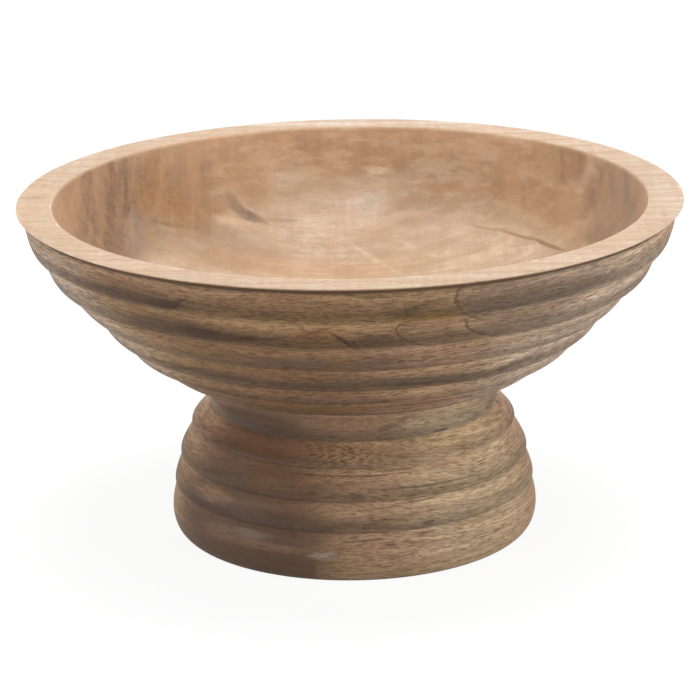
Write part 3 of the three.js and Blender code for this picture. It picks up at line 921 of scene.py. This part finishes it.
# Faint chevrons of figure run round the neck's groove and the first bead at the front.
CHEVRON_SPACING = 5.2
CHEVRON_SLANT = 1.7
CHEVRONS_AT = (-8, 57.3)
CHEVRON_REACH = (24, 5.0)
chevron_place = add_node("SeparateXYZ", {0: flat}).outputs
slanted = sums("ABSOLUTE", sums("SUBTRACT", chevron_place[1], CHEVRONS_AT[1] * MM))
chevron_way = sums("MULTIPLY_ADD", slanted, CHEVRON_SLANT, chevron_place[0])
wave = sums("SINE", sums("MULTIPLY", chevron_way, 2.0 * math.pi / (CHEVRON_SPACING * MM)))
middle = on_side(*CHEVRONS_AT, FOOT_LAID_FLAT_AT)
region = length_of(oval(flat, middle, CHEVRON_REACH, 0.0))
region = eased_step(region, 1.3, 0.5, 0.0, 0.8)
chevrons = sums("MULTIPLY", eased_step(wave, -0.4, 1.0), region)
colour = mixed(chevrons, colour, paint(130, 94, 64))
mark_flat = unruled(calm_flat, figure, (0.003, 0.0015, 0.0))
colour = stained(colour, mark_flat, FOOT_MARKS, FOOT_LAID_FLAT_AT)
foot_tints = (
    (152, 114, 84), (120, 90, 66), (112, 84, 60), (100, 74, 54), (56, 40, 30), (168, 130, 100),
)
colour = grained(colour, figure, foot_tints, (0.2, 0.22, 0.22, 0.5, 0.5, 0.04))

# The foot's lowest edge at the left is a sharply bounded darker piece of wood.
DARK_END_CORNER = (-12.3, 11.7)
DARK_END_SOFTNESS = (1.2, 0.3)
calm = add_node("SeparateXYZ", {0: calm_flat}).outputs
side, top = (value * MM for value in on_side(*DARK_END_CORNER, FOOT_LAID_FLAT_AT))
soft_side, soft_top = (value * MM for value in DARK_END_SOFTNESS)
low = eased_step(calm[1], top + soft_top, top - soft_top)
left = eased_step(calm[0], side + soft_side, side - soft_side, 0.0, 0.62)
colour = mixed(sums("MULTIPLY", low, left), colour, paint(98, 74, 56))
# The foot's painted light and shade, as greys multiplied into the colour.
colour = toned_by_height(colour, figure["place"], 0.0, SEAT_HEIGHT, foot_painted_shading)
# Painted highlight on the outer edges and painted shade in the inner corners.
colour = painted_edge_light_and_crease_shade(colour, (224, 190, 156), (92, 66, 48), 0.3, 0.35)
finish_wood(colour, figure, roughness=0.66, depth_mm=0.06)

hollow_wood, tree = new_tree("rough_hollow_wood")
figure = wood_figure((160.0, 20.0), 8.0, 6.7)
cloudy = patchy(figure["bent"], (12.0, 30.0, 30.0), 7.0, 3.0, 0.34, 0.66, roughness=0.5)
colour = mixed(cloudy, paint(198, 164, 128), paint(168, 132, 100))
hollow_tints = (
    (140, 108, 80), (130, 98, 72), (126, 96, 70), (118, 88, 64), (78, 56, 42), (150, 118, 88),
)
colour = grained(colour, figure, hollow_tints, (0.3, 0.45, 0.4, 0.5, 0.5, 0.2))
dust = patchy(figure["place"], (60.0, 60.0, 60.0), 2.0, 4.0, 0.5, 0.75, 0.35, 0.5)
colour = mixed(dust, colour, paint(206, 190, 168))
finish_wood(colour, figure, roughness=0.8, depth_mm=0.12)

foot.data.materials.append(foot_wood)
foot.data.materials.append(hollow_wood)

# Three countersunk holes go up from the hollow through the web, 0.3 mm wider than the screws.
SCREW_CIRCLE_RADIUS = 28.0
SCREW_DIRECTIONS = (90.0, 210.0, 330.0)
HOLE_MOUTH_RADIUS = 4.8
HOLE_SHANK_RADIUS = 2.55
COUNTERSINK_HEIGHT = 43.6
DRILL_TOP = SPIGOT_HEIGHT + 2.0
DRILL_END = HOLLOW_DEPTH - 5.0
SAME_PLACE = 0.01
hole_profile = np.array([
    (0.0, DRILL_TOP),
    (HOLE_SHANK_RADIUS, DRILL_TOP),
    (HOLE_SHANK_RADIUS, COUNTERSINK_HEIGHT + HOLE_MOUTH_RADIUS - HOLE_SHANK_RADIUS),
    (HOLE_MOUTH_RADIUS, COUNTERSINK_HEIGHT),
    (HOLE_MOUTH_RADIUS, DRILL_END),
    (0.0, DRILL_END),
])
hole_axes = [
    SCREW_CIRCLE_RADIUS * MM * np.array([math.cos(direction), math.sin(direction), 0.0])
    for direction in np.radians(SCREW_DIRECTIONS)
]
drills = []
for axis in hole_axes:
    drill = turned_mesh("screw_drill", hole_profile, [0])
    drill.location = axis.tolist()
    drilled = foot.modifiers.new("drilled", "BOOLEAN")
    drilled.operation = "DIFFERENCE"
    drilled.solver = "EXACT"
    drilled.object = drill
    drills.append(drill)
bpy.context.view_layer.update()
finished = foot.evaluated_get(bpy.context.evaluated_depsgraph_get())
foot_mesh = bpy.data.meshes.new_from_object(finished)
foot.modifiers.clear()
foot.data = foot_mesh
for drill in drills:
    bpy.data.objects.remove(drill)


def sharpen_hole_mouths(mesh):
    """Marks the edges round each hole's mouth as sharp: both ends at the ceiling's height and at
    the mouth's radius from that hole's axis."""
    places = np.empty(len(mesh.vertices) * 3)
    mesh.vertices.foreach_get("co", places)
    places = places.reshape(-1, 3)
    at_mouth = np.zeros(len(places), bool)
    for axis in hole_axes:
        away = np.hypot(*(places - axis).T[:2])
        at_mouth |= np.abs(away - HOLE_MOUTH_RADIUS * MM) < SAME_PLACE * MM
    at_mouth &= np.abs(places[:, 2] - HOLLOW_DEPTH * MM) < SAME_PLACE * MM
    ends = np.empty(len(mesh.edges) * 2, int)
    mesh.edges.foreach_get("vertices", ends)
    mesh.edges.foreach_set("use_edge_sharp", at_mouth[ends.reshape(-1, 2)].all(axis=1))


sharpen_hole_mouths(foot_mesh)
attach(foot, "root")
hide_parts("foot")

# The screws
# Three countersunk wood screws of yellow zinc-plated steel. They are driven up from the hollow
# under the foot through its web into the bowl, so only their heads can be seen, from below.
screw_zinc, tree = new_tree("yellow_zinc_plate")
place = add_node("TexCoord").outputs["Object"]
blotches = noise(place, (220.0, 220.0, 220.0), 1.0, 3.0).outputs[0]
colour = mixed(blotches, paint(196, 178, 118), paint(170, 158, 122))
uneven = eased_step(blotches, 0.3, 0.7, 0.28, 0.45)
surface = add_node("BsdfPrincipled", {"Base Color": colour, "Roughness": uneven})
surface.inputs["Metallic"].default_value = 1.0
add_node("OutputMaterial", {"Surface": surface.outputs[0]})
for name in ("screw_1", "screw_2", "screw_3"):
    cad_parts[name].material_slots[0].material = screw_zinc

# The room
# A plain pale floor, a large soft light overhead, and five long soft lights that stand low all
# round, so that they light the outside and not the inside walls.
FLOOR_HALF = 6.0
BOUNCE_GREY = 0.42
MATT_GREY = 0.95
GLOW = 1.08
GLOW_SHARE = 0.85
SURROUND = 0.04
WHITE = (1.0, 1.0, 1.0, 1.0)


def seen_directly():
    """1 where the camera, a reflection or a see-through ray looks, and 0 where light bounces."""
    rays = add_node("LightPath").outputs
    direct = sums("MAXIMUM", rays["Is Camera Ray"], rays["Is Glossy Ray"])
    return sums("MAXIMUM", direct, rays["Is Transmission Ray"])


floor_corners = [(x * FLOOR_HALF, y * FLOOR_HALF, 0.0) for x, y in ((-1, -1), (1, -1), (1, 1), (-1, 1))]
floor_mesh = bpy.data.meshes.new("pale_floor")
floor_mesh.from_pydata(floor_corners, [], [(0, 1, 2, 3)])
floor = bpy.data.objects.new("pale_floor", floor_mesh)
bpy.context.scene.collection.objects.link(floor)
floor_white, tree = new_tree("pale_floor_white")
bounce = add_node("BsdfDiffuse", {"Color": (BOUNCE_GREY, BOUNCE_GREY, BOUNCE_GREY, 1.0)})
matt = add_node("BsdfDiffuse", {"Color": (MATT_GREY, MATT_GREY, MATT_GREY, 1.0)})
glow = add_node("Emission", {"Color": WHITE, "Strength": GLOW})
white = add_node("MixShader", {0: GLOW_SHARE, 1: matt.outputs[0], 2: glow.outputs[0]})
both = add_node("MixShader", {0: seen_directly(), 1: bounce.outputs[0], 2: white.outputs[0]})
add_node("OutputMaterial", {"Surface": both.outputs[0]})
floor_mesh.materials.append(floor_white)

world = bpy.data.worlds.new("pale_surround")
bpy.context.scene.world = world
world.use_nodes = True
tree = world.node_tree
tree.nodes.clear()
strength = sums("MULTIPLY_ADD", seen_directly(), 1.0 - SURROUND, SURROUND)
background = add_node("Background", {"Color": WHITE, "Strength": strength})
add_node("OutputWorld", {"Surface": background.outputs[0]})


def stood(name, data, right, up, back, place):
    """A lamp or camera at a place, with its right, its top and its back turned these ways."""
    stand = np.eye(4)
    stand[:3] = np.stack([right, up, back, place], axis=1)
    thing = bpy.data.objects.new(name, data)
    thing.matrix_world = stand.T.tolist()
    bpy.context.scene.collection.objects.link(thing)
    return thing


BOWL_MIDDLE = np.array([0.0, 0.0, 0.09])


def soft_light(name, place, width, height, share):
    """A flat lamp at a place that faces the bowl. Its share is the part of full brightness that it
    gives to a surface there which faces it: power = share times pi squared times distance squared."""
    lamp = bpy.data.lights.new(name, "AREA")
    lamp.shape = "RECTANGLE"
    lamp.size = width
    lamp.size_y = height
    away = np.array(place) - BOWL_MIDDLE
    lamp.energy = share * math.pi ** 2 * float(away @ away)
    back = away / np.linalg.norm(away)
    right = np.cross((0.0, 0.0, 1.0) if abs(back[2]) < 0.99 else (0.0, 1.0, 0.0), back)
    right = right / np.linalg.norm(right)
    stood(name, lamp, right, np.cross(back, right), back, place)


soft_light("overhead_light", (0.1, 0.1, 1.7), 1.1, 1.1, 1.0)
LOW_LIGHTS = (
    ("right_front_light", (1.3, -1.1, 0.24), 0.6),
    ("right_light", (1.8, 0.0, 0.22), 0.36),
    ("left_light", (-1.8, -0.1, 0.22), 0.42),
    ("left_front_light", (-1.1, -1.3, 0.24), 0.36),
    ("back_light", (0.0, 1.8, 0.22), 0.35),
)
for name, place, share in LOW_LIGHTS:
    soft_light(name, place, 1.0, 0.34, share)

# The camera
# It stands straight in front, about 1.5 m away, and looks down by about 17 degrees.
CAMERA_PLACE = (0.0, -1.46364, 0.54061)
LOOKS_DOWN = 0.302435
TURNS_RIGHT = -0.00071
ROLL = -0.01635
FOCAL_PIXELS = 3301.86
PICTURE_PIXELS = 700
SENSOR_WIDTH = 36.0
camera_data = bpy.data.cameras.new("front_camera")
camera_data.sensor_width = SENSOR_WIDTH
camera_data.lens = FOCAL_PIXELS / PICTURE_PIXELS * SENSOR_WIDTH
forward = np.array([
    math.sin(TURNS_RIGHT) * math.cos(LOOKS_DOWN),
    math.cos(TURNS_RIGHT) * math.cos(LOOKS_DOWN),
    -math.sin(LOOKS_DOWN),
])
level = np.cross(forward, (0.0, 0.0, 1.0))
level = level / np.linalg.norm(level)
upright = np.cross(level, forward)
right = math.cos(ROLL) * level + math.sin(ROLL) * upright
up = -math.sin(ROLL) * level + math.cos(ROLL) * upright
bpy.context.scene.camera = stood("front_camera", camera_data, right, up, -forward, CAMERA_PLACE)
bpy.context.scene.view_settings.view_transform = "Standard"
